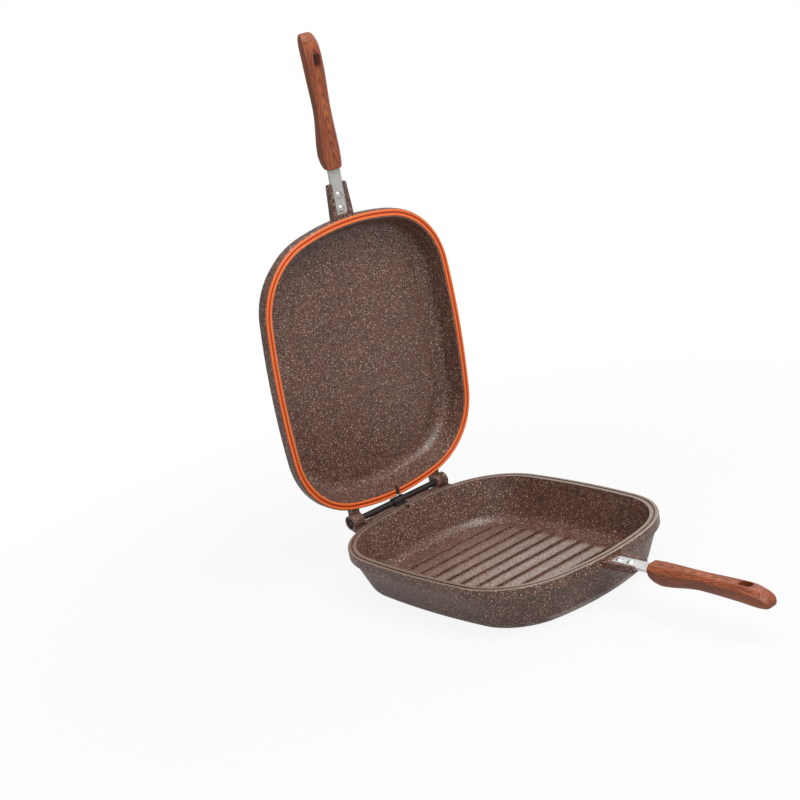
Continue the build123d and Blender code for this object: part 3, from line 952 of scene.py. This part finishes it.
@dataclass
class GripForm:
    """The moulded grip: a faceted slab with a turned-down tip and a hanging slot.

    The places are counted from the front of the grip, and the levels from the rim plane.
    """

    start: float = 195.0 * MM
    length: float = 131.0 * MM
    face: float = -0.6 * MM
    front_places: tuple[float, ...] = (0.0, 1.0 * MM, 2.4 * MM, 4.5 * MM, 8.0 * MM)
    nose: float = 25.0 * MM
    nose_drop: float = 12.0 * MM
    widths: tuple[tuple[float, float], ...] = (
        (0.0, 15.6 * MM),
        (2.4 * MM, 18.0 * MM),
        (14.0 * MM, 21.0 * MM),
        (58.0 * MM, 16.4 * MM),
        (97.0 * MM, 19.0 * MM),
        (118.0 * MM, 18.2 * MM),
        (126.0 * MM, 16.2 * MM),
        (129.6 * MM, 13.6 * MM),
        (131.0 * MM, 10.4 * MM),
    )
    bellies: tuple[tuple[float, float], ...] = (
        (0.0, 11.6 * MM),
        (2.4 * MM, 13.6 * MM),
        (14.0 * MM, 17.6 * MM),
        (58.0 * MM, 13.6 * MM),
        (97.0 * MM, 14.6 * MM),
        (122.0 * MM, 16.6 * MM),
        (128.6 * MM, 16.2 * MM),
        (131.0 * MM, 14.6 * MM),
    )
    slices: int = 16
    nose_slices: int = 10
    facet: float = 3.2 * MM
    belly_round: float = 4.5 * MM
    belly_segments: int = 4
    end_round: float = 1.1 * MM
    end_segments: int = 3
    shortest_side: float = 0.5 * MM
    smooth_degrees: float = 28.0
    peg_sides: int = 32
    slot_centre: float = 105.0 * MM
    slot_radius: float = 4.0 * MM
    slot_travel: float = 6.0 * MM
    slot_peg: float = 80.0 * MM
    screw_station: float = 36.0 * MM
    screw_recess: float = 3.8 * MM
    screw_head_level: float = 10.35 * MM
    screw_peg: float = 20.0 * MM

    def stations(self) -> list[Station]:
        """Sections from the front of the grip to its tip."""
        flat = self.length - self.nose
        front = self.front_places[-1]
        places = list(self.front_places)
        for index in range(1, self.slices + 1):
            places.append(front + (flat - front) * index / self.slices)
        for index in range(1, self.nose_slices + 1):
            places.append(flat + self.nose * math.sin(math.pi / 2 * index / self.nose_slices))
        found = []
        for place in places:
            share = min(max(0.0, (place - flat) / self.nose), 1.0)
            drop = (1.0 - math.sqrt(1.0 - share**2)) * self.nose_drop
            belly, half_width = eased(self.bellies, place), eased(self.widths, place) / 2
            found.append(Station(self.start + place, self.face + drop, belly, half_width))
        return found

    def build(self, name: str) -> bpy.types.Object:
        """Models the grip in its half's own directions.

        The first two sections are the ends of a cube. Their long edges are bevelled before the
        rest is extruded, so that every later section has the facets too.

        Args:
            name: Name of the new object.

        Returns:
            The grip, with along as x, across as y and depth as z.
        """
        stations = self.stations()
        grip = edited_cube(name)
        cube_end = 0.5
        for station, end in zip(stations, (-cube_end, cube_end)):
            pick_vertices(grip, lambda place, end=end: abs(place.x - end) < cube_end / 50)
            station.place(end, cube_end, (-cube_end, cube_end))
        self.bevel_sides(grip, stations[1])
        for before, after in zip(stations[1:], stations[2:]):
            pick_vertices(grip, lambda place, at=before.along: abs(place.x - at) < TOUCHING)
            bpy.ops.mesh.extrude_region_move(
                TRANSFORM_OT_translate={"value": (after.along - before.along, 0.0, 0.0)}
            )
            after.place(after.along, before.half_width, (before.top, before.belly))
        for end in (stations[0].along, stations[-1].along):
            pick_edges(
                grip,
                lambda one, other, end=end: abs(one.x - end) + abs(other.x - end) < TOUCHING,
            )
            bpy.ops.mesh.bevel(
                offset=self.end_round, segments=self.end_segments, affect="EDGES"
            )
        bpy.ops.object.mode_set(mode="OBJECT")
        self.cut(grip, self.slot_cutter())
        self.cut(grip, self.screw_cutter())
        bpy.ops.object.shade_smooth_by_angle(angle=math.radians(self.smooth_degrees))
        return grip

    def bevel_sides(self, grip: bpy.types.Object, station: Station) -> None:
        """Bevels the long edges of the first piece: facets at the mating face, rounds below.

        Args:
            grip: The grip, which is one piece between two sections so far.
            station: The further of its two sections.
        """
        middle = (station.top + station.belly) / 2
        sides = ((-1.0, self.facet, 1), (1.0, self.belly_round, self.belly_segments))
        for side, width, segments in sides:
            pick_edges(
                grip,
                lambda one, other, side=side: (one.z - middle) * side > 0
                and (other.z - middle) * side > 0
                and abs(one.x - other.x) > self.shortest_side,
            )
            bpy.ops.mesh.bevel(offset=width, segments=segments, affect="EDGES")

    def peg(self, radius: float, length: float, place: float, level: float) -> bpy.types.Object:
        """Adds a round upright peg on the grip's middle line."""
        bpy.ops.mesh.primitive_cylinder_add(
            vertices=self.peg_sides,
            radius=radius,
            depth=length,
            location=(self.start + place, 0.0, level),
        )
        return bpy.context.object

    def slot_cutter(self) -> bpy.types.Object:
        """A long round-ended peg in the shape of the hanging slot."""
        peg = self.peg(self.slot_radius, self.slot_peg, self.slot_centre, 0.0)
        edit_mode(peg)
        for side in (1.0, -1.0):
            pick_vertices(peg, lambda place, side=side: place.x * side > 10 * TOUCHING)
            bpy.ops.transform.translate(value=(side * self.slot_travel / 2, 0.0, 0.0))
        bpy.ops.object.mode_set(mode="OBJECT")
        return peg

    def screw_cutter(self) -> bpy.types.Object:
        """A round peg that leaves the recess of the grip's screw."""
        level = self.screw_head_level + self.screw_peg / 2
        return self.peg(self.screw_recess, self.screw_peg, self.screw_station, level)

    def cut(self, grip: bpy.types.Object, peg: bpy.types.Object) -> None:
        """Cuts a peg's shape out of the grip and removes the peg."""
        bpy.ops.object.select_all(action="DESELECT")
        bpy.context.view_layer.objects.active = grip
        grip.select_set(True)
        cutting = grip.modifiers.new("cut", "BOOLEAN")
        cutting.operation = "DIFFERENCE"
        cutting.solver = "EXACT"
        cutting.object = peg
        bpy.ops.object.modifier_apply(modifier=cutting.name)
        bpy.data.objects.remove(peg, do_unlink=True)


@dataclass
class Handle:
    """One half's handle: tang, rivets, grip, screw and magnet."""

    half: Half
    form: GripForm = field(default_factory=GripForm)
    wood: WoodPrint = field(default_factory=WoodPrint)

    def grip(self) -> None:
        """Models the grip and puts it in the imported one's place."""
        name = self.half.name
        grip = self.form.build(f"{name}_grip_form")
        grip.matrix_world = self.half.placing()
        bpy.ops.object.transform_apply(location=True, rotation=True, scale=True)
        grip.data.materials.append(self.wood.material(self.half))
        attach(grip, self.half.body)
        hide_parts(f"{name}_grip")
        log.info("%s: %d faces", grip.name, len(grip.data.polygons))

    def build(self) -> None:
        """Dresses the handle."""
        name = self.half.name
        # Each tang gets its own colour, lighter on the lower half and darker on the upper, as
        # painted light and shade.
        steel = FINISHES[Metal(f"{name}_tang")].material(f"tang_steel_{name}")
        dress(f"{name}_tang", steel)
        dress(f"{name}_rivets", FINISHES[Metal.RIVET].material(f"rivet_steel_{name}"))
        self.grip()
        screw = FINISHES[Metal.SCREW].material(f"screw_steel_{name}")
        dress(f"{name}_grip_screw", screw)
        dress(f"{name}_magnet", screw)


@dataclass(frozen=True)
class SoftBox:
    """A rectangular studio lamp that looks at the pan, with its sizes in metres."""

    name: str
    azimuth: float
    elevation: float
    distance: float
    width: float
    height: float
    watts: float
    aim: tuple[float, float, float] = (-0.05, 0.0, 0.12)

    def build(self) -> None:
        """Adds the lamp."""
        away = heading(self.azimuth, self.elevation)
        lamp = bpy.data.lights.new(self.name, "AREA")
        lamp.shape = "RECTANGLE"
        lamp.size = self.width
        lamp.size_y = self.height
        lamp.energy = self.watts
        obj = bpy.data.objects.new(self.name, lamp)
        bpy.context.scene.collection.objects.link(obj)
        obj.location = Vector(self.aim) + away * self.distance
        obj.rotation_euler = away.to_track_quat("Z", "Y").to_euler()


@dataclass
class Studio:
    """Floor, world and lamps.

    The floor takes the pan's shadow and glows white to the camera, least near the pan.
    """

    floor_size: float = 60.0
    floor_level: float = -0.3 * MM
    floor_white: float = 0.5
    near_glow: float = 0.9
    mirrored_glow: float = 0.35
    glow_reach: Span = (0.25, 0.8)
    world_strength: float = 0.42
    lamps: tuple[SoftBox, ...] = (
        SoftBox("key_lamp", 88.0, 50.0, 1.7, 1.1, 1.1, 23.0),
        SoftBox("top_lamp", 90.0, 80.0, 1.8, 1.4, 1.4, 18.0),
        SoftBox("back_lamp", 190.0, 30.0, 1.9, 1.2, 0.9, 8.0),
        SoftBox("fill_lamp", 30.0, 20.0, 2.0, 1.0, 1.0, 3.0),
    )

    def seen_directly(self, shader: Shader) -> Value:
        """1 for rays from the camera, also through glass, and less in a mirror."""
        path = shader.node("ShaderNodeLightPath")
        camera = shader.out(path, "Is Camera Ray")
        glossy = shader.out(path, "Is Glossy Ray") * self.mirrored_glow
        through = shader.out(path, "Is Transmission Ray")
        return camera.most(glossy).most(through)

    def build(self) -> None:
        """Adds the floor, the world and the lamps."""
        bpy.ops.mesh.primitive_plane_add(
            size=self.floor_size, location=(0.0, 0.0, self.floor_level)
        )
        floor = bpy.context.object
        floor.name = "studio_floor"
        floor.data.materials.append(self.floor_material())
        self.light_world()
        for lamp in self.lamps:
            lamp.build()

    def floor_material(self) -> bpy.types.Material:
        """Matt floor that glows white where the camera sees it."""
        shader = Shader("studio_floor")
        shader.feed(
            {"Base Color": (self.floor_white,) * 3, "Roughness": 0.9, "Specular IOR Level": 0.0}
        )
        glow = shader.node("ShaderNodeEmission", None, {"Color": WHITE, "Strength": 1.0})
        distance = shader.node(
            "ShaderNodeVectorMath", {"operation": "LENGTH"}, {0: shader.place()}
        )
        far = shader.out(distance, "Value").step(*self.glow_reach)
        glowing = far * (1.0 - self.near_glow) + self.near_glow
        mixed = shader.node(
            "ShaderNodeMixShader",
            None,
            {
                0: self.seen_directly(shader) * glowing,
                1: shader.out(shader.surface),
                2: shader.out(glow),
            },
        )
        shader.plug(shader.output.inputs["Surface"], shader.out(mixed))
        return shader.material

    def light_world(self) -> None:
        """White world that the camera sees at full strength."""
        world = bpy.data.worlds.new("studio")
        bpy.context.scene.world = world
        world.use_nodes = True
        nodes = Nodes(world.node_tree)
        seen = nodes.out(nodes.node("ShaderNodeLightPath"), "Is Camera Ray")
        strength = nodes.node(
            "ShaderNodeMapRange",
            None,
            {"Value": seen, "To Min": self.world_strength, "To Max": 1.0},
        )
        background = nodes.node(
            "ShaderNodeBackground", None, {"Color": WHITE, "Strength": nodes.out(strength)}
        )
        nodes.node("ShaderNodeOutputWorld", None, {"Surface": nodes.out(background)})


@dataclass
class Viewpoint:
    """The camera, at the angle from which the pan is looked at.

    The camera looks from the azimuth and the elevation, is turned by the roll, and then slides so
    that the pan stands off the middle of the picture.
    """

    focal_pixels: float = 1774.66
    azimuth: float = 52.98
    elevation: float = 16.73
    roll: float = -11.66
    distance: float = 1699.74 * MM
    slide_right: float = 95.71 * MM
    slide_up: float = -121.83 * MM
    nearest: float = 0.05
    farthest: float = 50.0

    def build(self) -> None:
        """Adds the camera and makes it the scene's own."""
        back = heading(self.azimuth, self.elevation)
        level_right = (-back).cross(Vector((0, 0, 1))).normalized()
        level_up = level_right.cross(-back)
        roll = math.radians(self.roll)
        right = level_right * math.cos(roll) + level_up * math.sin(roll)
        up = level_up * math.cos(roll) - level_right * math.sin(roll)
        data = bpy.data.cameras.new("camera")
        data.sensor_width = SENSOR_WIDTH
        data.lens = self.focal_pixels / PICTURE_PIXELS * SENSOR_WIDTH
        data.clip_start = self.nearest
        data.clip_end = self.farthest
        camera = bpy.data.objects.new("camera", data)
        bpy.context.scene.collection.objects.link(camera)
        place = LOWER.origin + back * self.distance
        place = place - right * self.slide_right - up * self.slide_up
        turned = Matrix((right, up, back)).transposed().to_4x4()
        camera.matrix_world = Matrix.Translation(place) @ turned
        bpy.context.scene.camera = camera


def main() -> None:
    """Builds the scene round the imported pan."""
    logging.basicConfig(level=logging.INFO, format="%(message)s")
    bpy.ops.object.select_all(action="DESELECT")
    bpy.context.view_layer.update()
    bpy.context.scene.view_settings.view_transform = "Standard"
    Viewpoint().build()
    Studio().build()
    Shells().build()
    Seal().build()
    Hinge().build()
    Handle(LOWER).build()
    Handle(UPPER).build()


if __name__ == "__main__":
    main()
